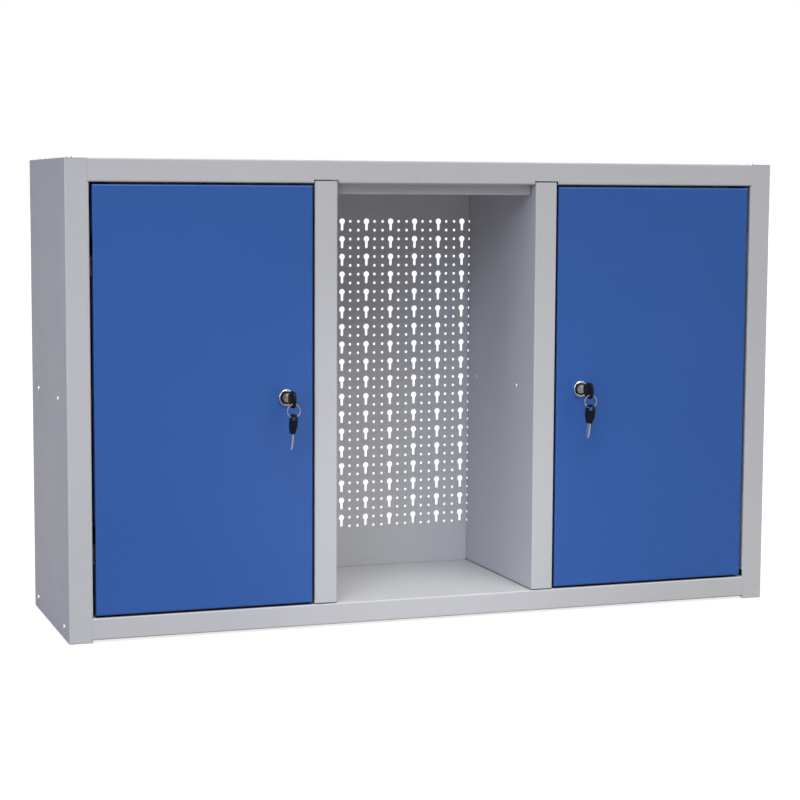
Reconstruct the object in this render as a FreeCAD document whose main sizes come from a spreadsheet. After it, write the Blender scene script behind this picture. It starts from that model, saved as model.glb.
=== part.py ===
"""Three-bay wall tool cabinet of folded sheet steel, with two lockable doors and a perforated middle back."""
import FreeCAD, Part
import math
import os
from types import SimpleNamespace

import Sketcher

# Driving sizes in millimetres, one cell each
SIZES = {
    # Carcass
    "cabinet_width": 1000.0,
    "cabinet_height": 620.0,
    "cabinet_depth": 270.0,
    "middle_bay_width": 282.0,
    "sheet_thickness": 1.0,
    "bend_radius": 1.0,
    "stile_width": 31.0,
    "post_width": 31.0,
    "top_rail_height": 30.0,
    "bottom_rail_height": 32.0,
    "flange_width": 25.0,
    "seam_gap": 0.1,
    "post_gap": 1.5,
    "post_rise": 3.0,
    "return_foot_gap": 10.0,
    "stop_lip_height": 14.0,
    "hem_height": 5.0,
    "rail_foot_depth": 15.0,
    "rail_foot_lift": 3.6,
    "corner_relief": 10.0,
    "wall_hole_radius": 4.5,
    "wall_hole_inset": 60.0,
    # Backs and perforation
    "back_recess": 22.0,
    "back_overlap": 12.0,
    "back_seam": 1.0,
    "back_flange_depth": 15.0,
    "back_fit": 0.5,
    "perforation_side_margin": 11.0,
    "perforation_bottom_margin": 73.0,
    "perforation_top_margin": 45.0,
    "keyhole_pitch_across": 37.0,
    "keyhole_pitch_up": 25.4,
    "keyhole_head_radius": 4.2,
    "keyhole_tail_radius": 2.0,
    "keyhole_drop": 11.3,
    "small_hole_radius": 2.0,
    # Shelves
    "shelf_height": 323.0,
    "shelf_front": 40.0,
    "shelf_flange_height": 25.0,
    # Screws and rivets
    "screw_radius": 2.5,
    "screw_head_overhang": 1.7,
    "screw_head_height": 2.2,
    "screw_length": 8.0,
    "screw_clearance": 0.1,
    "frame_screw_front_inset": 35.0,
    "frame_screw_rear_inset": 33.0,
    "bottom_screw_drop": 16.0,
    "shelf_screw_front_inset": 63.0,
    "shelf_screw_rear_inset": 36.0,
    "shelf_screw_drop": 13.0,
    "rivet_radius": 2.0,
    "rivet_head_overhang": 1.6,
    "rivet_head_height": 1.2,
    "rivet_tail": 1.0,
    "rivet_edge": 6.0,
    "rivet_end_inset": 48.0,
    # Doors
    "door_gap": 3.0,
    "hinge_side_gap": 4.0,
    "door_depth": 16.0,
    "door_lip_width": 12.0,
    "stop_gap": 1.0,
    # Hinges
    "hinge_length": 50.0,
    "hinge_inset": 93.0,
    "hinge_axis_inset": 6.0,
    "hinge_pin_radius": 2.0,
    "hinge_pin_clearance": 0.05,
    "hinge_knuckle_wall": 1.6,
    "hinge_knuckle_clearance": 0.4,
    "hinge_knuckle_gap": 0.3,
    "hinge_leaf_thickness": 1.5,
    "hinge_leaf_length": 28.0,
    "hinge_arm_setback": 3.0,
    "hinge_base_gap": 1.0,
    "hinge_slot_margin": 2.0,
    "hinge_cut_margin": 1.0,
    "hinge_cut_clearance": 2.4,
    # Locks
    "lock_height": 310.0,
    "lock_inset": 36.0,
    "plug_radius": 6.0,
    "plug_clearance": 0.05,
    "plug_setback": 0.6,
    "barrel_wall": 2.95,
    "barrel_clearance": 0.1,
    "bezel_overhang": 2.0,
    "bezel_thickness": 3.0,
    "bezel_edge_radius": 1.2,
    "bezel_recess_width": 2.25,
    "bezel_recess_depth": 1.5,
    "nut_wall": 4.0,
    "nut_thickness": 4.0,
    "spigot_width": 8.0,
    "spigot_clearance": 0.1,
    "cam_gap": 1.3,
    "cam_clearance": 0.3,
    "cam_thickness": 2.0,
    "cam_width": 16.0,
    "cam_engagement": 6.0,
    "cam_corner_radius": 4.0,
    "cam_screw_radius": 2.0,
    "cam_screw_length": 8.0,
    "cam_screw_head_overhang": 4.0,
    "cam_screw_head_height": 2.5,
    "keyway_clearance": 0.3,
    "keyway_end_gap": 2.6,
    # Keys and rings
    "bow_stand": 14.0,
    "bow_length": 26.0,
    "bow_width": 22.0,
    "bow_thickness": 4.0,
    "bow_edge_radius": 1.0,
    "bow_corner_radius": 9.0,
    "bow_neck_length": 10.0,
    "bow_neck_width": 11.0,
    "bow_slot_length": 14.0,
    "bow_slot_width": 5.0,
    "bow_slot_corner_radius": 2.2,
    "bow_rim": 3.5,
    "blade_length": 20.0,
    "blade_width": 7.6,
    "blade_thickness": 1.8,
    "blade_tang": 10.0,
    "blade_tip_length": 3.0,
    "blade_cut_pitch": 2.2,
    "blade_cut_depth": 1.6,
    "ring_radius": 8.7,
    "ring_wire_radius": 0.65,
    "ring_clearance": 0.75,
    "spare_clearance": 0.6,
}
RIVET_ROWS = 3
HEM_BEND_SHARE = 0.9
SPARE_TWIST_DEGREES = 5.0
SPARE_ROLL_DEGREES = 6.0
BLADE_TIP_WIDTH_SHARE = 0.35
BLADE_CUT_DEPTH_SHARES = (0.6, 1.0, 0.5, 0.9)
LEAST_CUT_SHARE = 1e-7

doc = FreeCAD.newDocument("tool_cabinet")
sheet = doc.addObject("Spreadsheet::Sheet", "Sizes")
for row, (name, number) in enumerate(SIZES.items(), start=1):
    sheet.set(f"A{row}", name)
    sheet.set(f"B{row}", str(number))
    sheet.setAlias(f"B{row}", name)
doc.recompute()


class Size:
    """A length held both as a number and as the sheet expression that gives it."""

    def __init__(self, value, text):
        self.value = value
        self.text = text

    def __add__(self, other):
        return Size(self.value + other.value, f"({self.text} + {other.text})")

    def __sub__(self, other):
        return Size(self.value - other.value, f"({self.text} - {other.text})")

    def __neg__(self):
        return Size(-self.value, f"(-1 * {self.text})")

    def __mul__(self, factor):
        return Size(self.value * factor, f"({self.text} * {factor:.9f})")

    def __truediv__(self, divisor):
        return Size(self.value / divisor, f"({self.text} / {divisor})")


ZERO = Size(0.0, "0")
size = SimpleNamespace(**{name: Size(float(getattr(sheet, name)), f"Sizes.{name}") for name in SIZES})

# Places worked out from the driving sizes, measured from the cabinet's lower left front corner
thick = size.sheet_thickness
outer_bend = size.bend_radius + thick
inner_bend = size.bend_radius
width = size.cabinet_width
height = size.cabinet_height
depth = size.cabinet_depth
return_depth = size.door_depth + size.stop_gap + thick
post_left = (width - size.middle_bay_width) / 2 - size.post_width
post_right = post_left + size.post_width
floor_top = size.bottom_rail_height
floor_under = floor_top - thick
rail_low = height - size.top_rail_height
top_under = height - thick
flange_under = top_under - thick
back_front = depth - size.back_recess

hole_radius = size.screw_radius + size.screw_clearance
side_screw_x = size.flange_width / 2
divider_screw_x = post_right - size.flange_width / 2
frame_screw_depths = (size.frame_screw_front_inset, depth - size.frame_screw_rear_inset)
shelf_screw_depths = (size.shelf_screw_front_inset, back_front - size.shelf_screw_rear_inset)
bottom_screw_height = floor_top - size.bottom_screw_drop
shelf_screw_height = size.shelf_height - size.shelf_screw_drop
back_height = flange_under - size.back_fit - floor_top
rivet_low = floor_top + size.rivet_end_inset
rivet_step = (back_height - size.rivet_end_inset * 2) / (RIVET_ROWS - 1)
rivet_heights = [rivet_low + rivet_step * row for row in range(RIVET_ROWS)]

door_left = size.stile_width + size.hinge_side_gap
door_right = post_left - size.door_gap
door_low = floor_top + size.door_gap
door_high = rail_low - size.door_gap
knuckle_radius = size.hinge_pin_radius + size.hinge_knuckle_wall
hinge_x = door_left + size.hinge_axis_inset
hinge_y = thick + knuckle_radius + size.hinge_knuckle_clearance
hinge_arm_rear = return_depth - size.hinge_arm_setback
hinge_arm_front = hinge_arm_rear - size.hinge_leaf_thickness
hinge_half_cut = size.hinge_length / 2 + size.hinge_cut_margin
hinge_middles = {
    "upper": rail_low - size.hinge_inset,
    "lower": floor_top + size.hinge_inset,
}

lock_x = door_right - size.lock_inset
plug_bore = size.plug_radius + size.plug_clearance
barrel_radius = plug_bore + size.barrel_wall
barrel_hole = barrel_radius + size.barrel_clearance
plug_front = size.plug_setback - size.bezel_thickness
cam_front = return_depth + size.cam_gap
cam_reach = size.lock_inset + size.door_gap + thick + size.cam_engagement

bow_front = size.bow_stand + size.bow_length
ring_depth = bow_front - size.bow_rim - size.bow_slot_width / 2
ring_top = size.lock_height - size.bow_slot_length / 2 + size.ring_clearance + size.ring_wire_radius

# The origin lies under the middle of the whole box, hanging keys included
key_reach = ring_depth + size.bow_width / 2
corner = (-width / 2, (key_reach - depth) / 2, ZERO)
ALONG_Y = FreeCAD.Rotation(FreeCAD.Vector(1, 0, 0), -90)
ALONG_X = FreeCAD.Rotation(FreeCAD.Vector(0, 1, 0), 90)
AGAINST_X = FreeCAD.Rotation(FreeCAD.Vector(0, 1, 0), -90)
AGAINST_Y = FreeCAD.Rotation(FreeCAD.Vector(1, 0, 0), 90)
AGAINST_Z = FreeCAD.Rotation(FreeCAD.Vector(1, 0, 0), 180)
UPRIGHT = FreeCAD.Rotation()

nodes = {}


def place(item, x, y, z, rotation=UPRIGHT):
    """Put an object at a point given from the cabinet's corner."""
    item.Placement = FreeCAD.Placement(FreeCAD.Vector(), rotation)
    for axis, amount, start in zip("xyz", (x, y, z), corner):
        item.setExpression(f"Placement.Base.{axis}", (start + amount).text)


def new_body(label, x=ZERO, y=ZERO, z=ZERO, rotation=UPRIGHT, node=True):
    body = doc.addObject("PartDesign::Body", label)
    body.Label = label
    place(body, x, y, z, rotation)
    if node:
        nodes[label] = body
    return body


def rectangle(x_low, y_low, x_high, y_high):
    return [(x_low, y_low), (x_high, y_low), (x_high, y_high), (x_low, y_high)]


def disc(x, y, radius):
    return SimpleNamespace(x=x, y=y, radius=radius)


def new_sketch(body, plane, start):
    """A sketch on one of the body's own origin planes, moved along that plane's axis."""
    sketch = body.newObject("Sketcher::SketchObject", f"{body.Name}_sketch")
    support = [item for item in body.Origin.OriginFeatures if item.Role == plane][0]
    sketch.AttachmentSupport = [(support, "")]
    sketch.MapMode = "FlatFace"
    offset = -start if plane == "XZ_Plane" else start
    sketch.setExpression("AttachmentOffset.Base.z", offset.text)
    return sketch


def bind(sketch, constraint, text):
    index = sketch.addConstraint(constraint)
    sketch.setExpression(f"Constraints[{index}]", text)


def pin(sketch, item, end, x, y):
    """Hold one point of a sketch at a place given by sheet expressions."""
    for kind, axis, amount in (("DistanceX", -2, x), ("DistanceY", -1, y)):
        if amount is ZERO:
            sketch.addConstraint(Sketcher.Constraint("PointOnObject", item, end, axis))
        else:
            bind(sketch, Sketcher.Constraint(kind, -1, 1, item, end, amount.value), amount.text)


def heading(start, end):
    """Unit steps from one corner to the next along the sketch's axes."""
    across = end[0].value - start[0].value
    up = end[1].value - start[1].value
    return (across > 0) - (across < 0), (up > 0) - (up < 0)


def shift(amount, radius, step):
    if step == 0:
        return amount
    return amount + radius if step > 0 else amount - radius


def draw_outline(sketch, corners):
    """A closed outline through the corners; a corner's third value rounds a right angle."""
    count = len(corners)
    arrivals, departures = [], []
    for index, here in enumerate(corners):
        way_in = heading(corners[index - 1], here)
        way_out = heading(here, corners[(index + 1) % count])
        if len(here) == 3:
            radius = here[2]
            arrivals.append((shift(here[0], radius, -way_in[0]), shift(here[1], radius, -way_in[1])))
            departures.append((shift(here[0], radius, way_out[0]), shift(here[1], radius, way_out[1])))
        else:
            arrivals.append(here[:2])
            departures.append(here[:2])
    points = [[FreeCAD.Vector(p[0].value, p[1].value, 0) for p in side] for side in (arrivals, departures)]
    lines = []
    for index in range(count):
        line = Part.LineSegment(points[1][index], points[0][(index + 1) % count])
        lines.append(sketch.addGeometry(line, False))
    for index, here in enumerate(corners):
        before, after = lines[index - 1], lines[index]
        pin(sketch, after, 1, *departures[index])
        if len(here) == 2:
            sketch.addConstraint(Sketcher.Constraint("Coincident", before, 2, after, 1))
            continue
        pin(sketch, before, 2, *arrivals[index])
        draw_corner(sketch, here[2], before, after, points[0][index], points[1][index], corners, index)


def draw_corner(sketch, radius, before, after, arrival, departure, corners, index):
    """The arc that joins two lines of an outline."""
    way_in = heading(corners[index - 1], corners[index])
    way_out = heading(corners[index], corners[(index + 1) % len(corners)])
    centre = arrival + FreeCAD.Vector(*way_out, 0) * radius.value
    turns_left = way_in[0] * way_out[1] - way_in[1] * way_out[0] > 0
    first, last = (arrival, departure) if turns_left else (departure, arrival)
    angles = [math.atan2(p.y - centre.y, p.x - centre.x) for p in (first, last)]
    circle = Part.Circle(centre, FreeCAD.Vector(0, 0, 1), radius.value)
    arc = sketch.addGeometry(Part.ArcOfCircle(circle, *angles), False)
    sketch.addConstraint(Sketcher.Constraint("Coincident", arc, 1 if turns_left else 2, before, 2))
    sketch.addConstraint(Sketcher.Constraint("Coincident", arc, 2 if turns_left else 1, after, 1))
    bind(sketch, Sketcher.Constraint("Radius", arc, radius.value), radius.text)


def draw(sketch, shapes):
    for shape in shapes:
        if isinstance(shape, list):
            draw_outline(sketch, shape)
        else:
            centre = FreeCAD.Vector(shape.x.value, shape.y.value, 0)
            round_edge = Part.Circle(centre, FreeCAD.Vector(0, 0, 1), shape.radius.value)
            item = sketch.addGeometry(round_edge, False)
            pin(sketch, item, 3, shape.x, shape.y)
            bind(sketch, Sketcher.Constraint("Radius", item, shape.radius.value), shape.radius.text)


def pad(body, plane, start, length, *shapes):
    """Add material from start, for a length, along the plane's own axis."""
    sketch = new_sketch(body, plane, start)
    draw(sketch, shapes)
    feature = body.newObject("PartDesign::Pad", f"{body.Name}_pad")
    feature.Profile = sketch
    feature.Reversed = plane == "XZ_Plane"
    feature.setExpression("Length", length.text)
    return feature


def cut(body, plane, start, length, *shapes):
    """Take material away from start, for a length, along the plane's own axis."""
    sketch = new_sketch(body, plane, start)
    draw(sketch, shapes)
    feature = body.newObject("PartDesign::Pocket", f"{body.Name}_pocket")
    feature.Profile = sketch
    feature.Reversed = plane != "XZ_Plane"
    feature.setExpression("Length", length.text)
    return feature


def lathe(body, *profile):
    """Turn a half profile of radius and height about the body's own Z axis."""
    sketch = new_sketch(body, "XZ_Plane", ZERO)
    draw_outline(sketch, list(profile))
    feature = body.newObject("PartDesign::Revolution", f"{body.Name}_revolution")
    feature.Profile = sketch
    feature.ReferenceAxis = (sketch, ["V_Axis"])
    feature.Angle = 360
    return feature


def round_edges(body, feature, radius, chosen):
    """Round those edges of a feature whose box passes the test."""
    doc.recompute()
    names = [f"Edge{n}" for n, edge in enumerate(feature.Shape.Edges, start=1) if chosen(edge.BoundBox)]
    fillet = body.newObject("PartDesign::Fillet", f"{body.Name}_fillet")
    fillet.Base = (feature, names)
    fillet.setExpression("Radius", radius.text)
    return fillet


def mirror(label, source):
    """The right-hand twin of a left-hand piece."""
    twin = doc.addObject("Part::Mirroring", label)
    twin.Label = label
    twin.Source = source
    twin.Normal = FreeCAD.Vector(1, 0, 0)
    nodes[label] = twin


def group(label, members):
    """Identical fasteners as separate solids of one piece."""
    item = doc.addObject("Part::Compound", label)
    item.Label = label
    item.Links = members
    nodes[label] = item


def both_sides(build, *names):
    """Build a left-hand piece, then its right-hand twin."""
    body = build("_".join(("left",) + names))
    mirror("_".join(("right",) + names), body)


def side_holes(depths, z):
    """Screw holes through an upright wall, at one height."""
    return [disc(y, z, hole_radius) for y in depths]


def side_panel(label):
    """Side wall folded into the front stile with its return, and the rear, top and bottom flanges."""
    body = new_body(label)
    stile_inside = size.stile_width - thick
    pad(body, "XY_Plane", ZERO, top_under, [
        (ZERO, ZERO, outer_bend),
        (size.stile_width, ZERO, outer_bend),
        (size.stile_width, return_depth),
        (stile_inside, return_depth),
        (stile_inside, thick, inner_bend),
        (thick, thick, inner_bend),
        (thick, depth - thick, inner_bend),
        (size.flange_width, depth - thick),
        (size.flange_width, depth),
        (ZERO, depth, outer_bend),
    ])
    flange = rectangle(thick / 2, outer_bend, size.flange_width, depth - outer_bend * 2)
    pad(body, "XY_Plane", flange_under, thick, flange)
    pad(body, "XY_Plane", ZERO, thick, flange)
    # The return stops short of both rails
    past_return = return_depth + thick
    return_area = rectangle(stile_inside - inner_bend, thick, size.stile_width + thick, past_return)
    cut(body, "XY_Plane", ZERO, floor_top + size.return_foot_gap, return_area)
    return_top = rail_low - size.post_gap
    cut(body, "XY_Plane", return_top, top_under - return_top, return_area)
    # The stile is trimmed square where the ends of the rails meet it
    stile_trim = size.stile_width - outer_bend
    joint = rectangle(stile_trim, -thick, size.stile_width + thick, past_return)
    cut(body, "XY_Plane", size.rail_foot_lift, floor_top - size.rail_foot_lift, joint)
    cut(body, "XY_Plane", rail_low, top_under - rail_low, joint)
    slots = [
        rectangle(
            hinge_arm_front - size.hinge_slot_margin, middle - hinge_half_cut,
            hinge_arm_rear + size.hinge_slot_margin, middle + hinge_half_cut,
        )
        for middle in hinge_middles.values()
    ]
    cut(body, "YZ_Plane", stile_inside - thick, thick * 3, *slots)
    cut(
        body, "YZ_Plane", ZERO, thick,
        *side_holes(frame_screw_depths, bottom_screw_height),
        *side_holes(shelf_screw_depths, shelf_screw_height),
    )
    top_holes = [disc(side_screw_x, y, hole_radius) for y in frame_screw_depths]
    cut(body, "XY_Plane", flange_under, thick, *top_holes)
    wall_heights = (size.wall_hole_inset, height - size.wall_hole_inset)
    wall_holes = [disc(side_screw_x, z, size.wall_hole_radius) for z in wall_heights]
    cut(body, "XZ_Plane", depth - thick, thick, *wall_holes)
    return body


def rail_span():
    """Start and length of the rails between the two stiles."""
    start = size.stile_width - outer_bend + size.seam_gap
    return start, width - start * 2


def top_panel():
    """Flat top with a rear flange, front rail, return and hemmed stop lip."""
    body = new_body("top_panel")
    end = thick + inner_bend
    rear = depth - thick
    pad(body, "YZ_Plane", end, width - end * 2, [
        (outer_bend, height),
        (rear, height, outer_bend),
        (rear, height - size.flange_width),
        (rear - thick, height - size.flange_width),
        (rear - thick, top_under, inner_bend),
        (outer_bend, top_under),
    ])
    pad(body, "XY_Plane", top_under, thick, rectangle(ZERO, outer_bend, width, rear - outer_bend))
    lip = return_depth
    lip_low = rail_low - size.stop_lip_height
    hem_top = lip_low + size.hem_height
    hem_bend = thick * HEM_BEND_SHARE
    start, length = rail_span()
    pad(body, "YZ_Plane", start, length, [
        (ZERO, height, outer_bend),
        (lip, height),
        (lip, top_under),
        (thick, top_under, inner_bend),
        (thick, rail_low + thick, inner_bend),
        (lip, rail_low + thick, outer_bend),
        (lip, hem_top),
        (lip + thick, hem_top),
        (lip + thick, lip_low, hem_bend),
        (lip - thick, lip_low, hem_bend),
        (lip - thick, rail_low, inner_bend),
        (ZERO, rail_low, outer_bend),
    ])
    # The lip is left out where the doors' hinged corners swing back
    swing = hinge_x + size.door_depth
    corners = [rectangle(left, lip_low - thick, left + swing, rail_low) for left in (ZERO, width - swing)]
    cut(body, "XZ_Plane", lip - thick * 2, thick * 4, *corners)
    # Each post stands up into a notch through the lip and the rail's lower edge
    notch_left = post_left - size.post_gap
    notch_width = size.post_width + size.post_gap * 2
    notch_top = rail_low + size.post_rise + size.post_gap
    notches = [
        rectangle(left, lip_low - thick, left + notch_width, notch_top)
        for left in (notch_left, width - notch_left - notch_width)
    ]
    cut(body, "XZ_Plane", -thick, lip + thick * 3, *notches)
    ends = (side_screw_x, width - side_screw_x)
    holes = [disc(x, y, hole_radius) for x in ends for y in frame_screw_depths]
    cut(body, "XY_Plane", top_under, thick, *holes)


def bottom_panel():
    """Floor with a front rail, a rear flange and side flanges screwed to the sides."""
    body = new_body("bottom_panel")
    end = thick + inner_bend
    rear = depth - thick
    flange_low = floor_top - size.flange_width
    pad(body, "YZ_Plane", end, width - end * 2, [
        (outer_bend, floor_top),
        (rear, floor_top, outer_bend),
        (rear, flange_low),
        (rear - thick, flange_low),
        (rear - thick, floor_under, inner_bend),
        (outer_bend, floor_under),
    ])
    start, length = rail_span()
    pad(body, "YZ_Plane", start, length, [
        (ZERO, floor_top, outer_bend),
        (return_depth, floor_top),
        (return_depth, floor_under),
        (thick, floor_under, inner_bend),
        (thick, size.rail_foot_lift + thick, inner_bend),
        (size.rail_foot_depth, size.rail_foot_lift + thick),
        (size.rail_foot_depth, size.rail_foot_lift),
        (ZERO, size.rail_foot_lift, outer_bend),
    ])
    side_length = depth - size.corner_relief * 2
    inside = thick * 2
    for wall, face, reach in (
        (thick, inside, size.corner_relief),
        (width - thick, width - inside, width - size.corner_relief),
    ):
        pad(body, "XZ_Plane", size.corner_relief, side_length, [
            (wall, flange_low),
            (wall, floor_top, outer_bend),
            (reach, floor_top),
            (reach, floor_under),
            (face, floor_under, inner_bend),
            (face, flange_low),
        ])
    for start in (thick, width - inside):
        cut(body, "YZ_Plane", start, thick, *side_holes(frame_screw_depths, bottom_screw_height))
    dividers = (divider_screw_x, width - divider_screw_x)
    holes = [disc(x, y, hole_radius) for x in dividers for y in shelf_screw_depths]
    cut(body, "XY_Plane", floor_under, thick, *holes)


def divider(label):
    """Wall of the middle bay folded into the front post and a rear flange, flanged above and below."""
    body = new_body(label)
    wall = post_right - thick
    flange_edge = post_right - size.flange_width
    low = floor_top + size.post_gap
    high = rail_low + size.post_rise
    pad(body, "XY_Plane", low, high - low, [
        (post_left, ZERO, outer_bend),
        (post_right, ZERO, outer_bend),
        (post_right, back_front, outer_bend),
        (flange_edge, back_front),
        (flange_edge, back_front - thick),
        (wall, back_front - thick, inner_bend),
        (wall, thick, inner_bend),
        (post_left + thick, thick, inner_bend),
        (post_left + thick, return_depth),
        (post_left, return_depth),
    ])
    start = return_depth + thick + size.post_gap
    length = back_front - outer_bend - start
    pad(body, "XZ_Plane", start, length, [
        (flange_edge, floor_top),
        (post_right, floor_top, outer_bend),
        (post_right, low + outer_bend),
        (wall, low + outer_bend),
        (wall, floor_top + thick, inner_bend),
        (flange_edge, floor_top + thick),
    ])
    pad(body, "XZ_Plane", start, length, [
        (flange_edge, top_under),
        (post_right, top_under, outer_bend),
        (post_right, high - outer_bend),
        (wall, high - outer_bend),
        (wall, top_under - thick, inner_bend),
        (flange_edge, top_under - thick),
    ])
    flange_holes = [disc(divider_screw_x, y, hole_radius) for y in shelf_screw_depths]
    cut(body, "XY_Plane", floor_top, thick, *flange_holes)
    cut(body, "YZ_Plane", wall, thick, *side_holes(shelf_screw_depths, shelf_screw_height))
    rivets = [disc(x, z, size.rivet_radius) for x in rivet_columns() for z in rivet_heights]
    cut(body, "XZ_Plane", back_front - thick, thick, *rivets)
    return body


def rivet_columns():
    """Rivets beside the seam of two backs, over the left divider's rear flange."""
    seam = post_right - size.back_overlap
    return seam + size.rivet_edge, seam - size.back_seam - size.rivet_edge


def keyhole_wire(x, z, level):
    """A round head with a narrower tail below it, ending in a half circle."""
    head = size.keyhole_head_radius.value
    tail = size.keyhole_tail_radius.value
    neck = math.sqrt(head * head - tail * tail)
    foot = z - size.keyhole_drop.value

    def point(across, up):
        return FreeCAD.Vector(across, level, up)

    # Drawn clockwise, against the sheet's own outline
    edges = [
        Part.Arc(point(x - tail, z - neck), point(x, z + head), point(x + tail, z - neck)).toShape(),
        Part.makeLine(point(x + tail, z - neck), point(x + tail, foot)),
        Part.Arc(point(x + tail, foot), point(x, foot - tail), point(x - tail, foot)).toShape(),
        Part.makeLine(point(x - tail, foot), point(x - tail, z - neck)),
    ]
    return Part.Wire(edges)


def perforated_back():
    """Sheet behind the middle bay, one holed face drawn out to its thickness."""
    level = back_front.value
    along = FreeCAD.Vector(0, 1, 0)
    low_x = (post_right - size.back_overlap).value
    high_x = width.value - low_x
    low_z = floor_top.value
    high_z = (floor_top + back_height).value
    frame = [(low_x, low_z), (high_x, low_z), (high_x, high_z), (low_x, high_z), (low_x, low_z)]
    wires = [Part.makePolygon([FreeCAD.Vector(x, level, z) for x, z in frame])]

    def add_hole(x, z, radius):
        wires.append(Part.Wire(Part.makeCircle(radius.value, FreeCAD.Vector(x, level, z), along)))

    across = size.keyhole_pitch_across.value
    up = size.keyhole_pitch_up.value
    room_across = size.middle_bay_width - size.perforation_side_margin * 2
    lowest = floor_top + size.perforation_bottom_margin
    room_up = rail_low - size.perforation_top_margin - lowest
    columns = int(room_across.value / across) + 1
    rows = int(room_up.value / up) + 1
    first_x = width.value / 2 - across * (columns - 1) / 2
    for row in range(rows):
        z = lowest.value + up * row
        for column in range(columns):
            x = first_x + across * column
            wires.append(keyhole_wire(x, z, level))
            for level_z in (z, z - up / 2):
                add_hole(x + across / 3, level_z, size.small_hole_radius)
                add_hole(x - across / 3, level_z, size.small_hole_radius)
    edge_rivet = rivet_columns()[0].value
    for x in (edge_rivet, width.value - edge_rivet):
        for z in rivet_heights:
            add_hole(x, z.value, size.rivet_radius)
    face = Part.Face(wires)
    sheet_piece = doc.addObject("Part::Feature", "perforated_back")
    sheet_piece.Label = "perforated_back"
    sheet_piece.Shape = face.extrude(along * thick.value)
    place(sheet_piece, ZERO, ZERO, ZERO)
    nodes["perforated_back"] = sheet_piece


def back_panel(label):
    """Plain back of a closed bay, with a flange folded back against the side wall."""
    body = new_body(label)
    edge = post_right - size.back_overlap - size.back_seam
    flange_end = back_front + size.back_flange_depth
    pad(body, "XY_Plane", floor_top, back_height, [
        (thick, back_front, outer_bend),
        (edge, back_front),
        (edge, back_front + thick),
        (thick * 2, back_front + thick, inner_bend),
        (thick * 2, flange_end),
        (thick, flange_end),
    ])
    rivets = [disc(rivet_columns()[1], z, size.rivet_radius) for z in rivet_heights]
    cut(body, "XZ_Plane", back_front, thick, *rivets)
    return body


def shelf(label):
    """Shelf of a closed bay, a tray turned down at the front and both ends."""
    body = new_body(label)
    left = thick
    right = post_right - thick
    top = size.shelf_height
    low = top - size.shelf_flange_height
    start = size.shelf_front + outer_bend
    # Clear of the divider's rear bend and of the rivets' tails
    rear = back_front - outer_bend - size.rivet_tail - size.back_fit
    pad(body, "XZ_Plane", start, rear - start, [
        (left, low),
        (left + thick, low),
        (left + thick, top - thick, inner_bend),
        (right - thick, top - thick, inner_bend),
        (right - thick, low),
        (right, low),
        (right, top, outer_bend),
        (left, top, outer_bend),
    ])
    end = thick + inner_bend
    pad(body, "YZ_Plane", left + end, right - left - end * 2, [
        (size.shelf_front, low),
        (size.shelf_front + thick, low),
        (size.shelf_front + thick, top - thick, inner_bend),
        (start + outer_bend, top - thick),
        (start + outer_bend, top),
        (size.shelf_front, top, outer_bend),
    ])
    for wall in (left, right - thick):
        cut(body, "YZ_Plane", wall, thick, *side_holes(shelf_screw_depths, shelf_screw_height))
    return body


def button_screw(label, x, y, z, rotation):
    """A button-headed screw whose head seats at the point and whose shank runs along the turned Z axis."""
    body = new_body(label, x, y, z, rotation, node=False)
    head_radius = size.screw_radius + size.screw_head_overhang
    lathe(
        body,
        (ZERO, -size.screw_head_height),
        (head_radius, -size.screw_head_height, size.screw_head_height / 2),
        (head_radius, ZERO),
        (size.screw_radius, ZERO),
        (size.screw_radius, size.screw_length),
        (ZERO, size.screw_length),
    )
    return body


def screw_group(label, places):
    members = [button_screw(f"{label}_{n}", *spot) for n, spot in enumerate(places, start=1)]
    group(label, members)


def screws():
    """All screws of the carcass, grouped by what they hold."""
    ends = (side_screw_x, width - side_screw_x)
    dividers = (divider_screw_x, width - divider_screw_x)
    screw_group("top_screws", [(x, y, height, AGAINST_Z) for x in ends for y in frame_screw_depths])
    sides = ((ZERO, ALONG_X), (width, AGAINST_X))
    low = bottom_screw_height
    screw_group("bottom_screws", [(x, y, low, turn) for x, turn in sides for y in frame_screw_depths])
    under = floor_under
    screw_group("divider_screws", [(x, y, under, UPRIGHT) for x in dividers for y in shelf_screw_depths])
    walls = sides + ((post_right, AGAINST_X), (width - post_right, ALONG_X))
    middle = shelf_screw_height
    screw_group("shelf_screws", [(x, y, middle, turn) for x, turn in walls for y in shelf_screw_depths])


def rivets():
    """Blind rivets that hold the three backs to the dividers' rear flanges."""
    left = rivet_columns()
    columns = left + tuple(width - x for x in left)
    seat = back_front + thick
    head_radius = size.rivet_radius + size.rivet_head_overhang
    shank = thick * 2 + size.rivet_tail
    members = []
    for x in columns:
        for z in rivet_heights:
            body = new_body(f"back_rivet_{len(members) + 1}", x, seat, z, AGAINST_Y, node=False)
            lathe(
                body,
                (ZERO, -size.rivet_head_height),
                (head_radius, -size.rivet_head_height, size.rivet_head_height / 2),
                (head_radius, ZERO),
                (size.rivet_radius, ZERO),
                (size.rivet_radius, shank),
                (ZERO, shank),
            )
            members.append(body)
    group("back_rivets", members)


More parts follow.
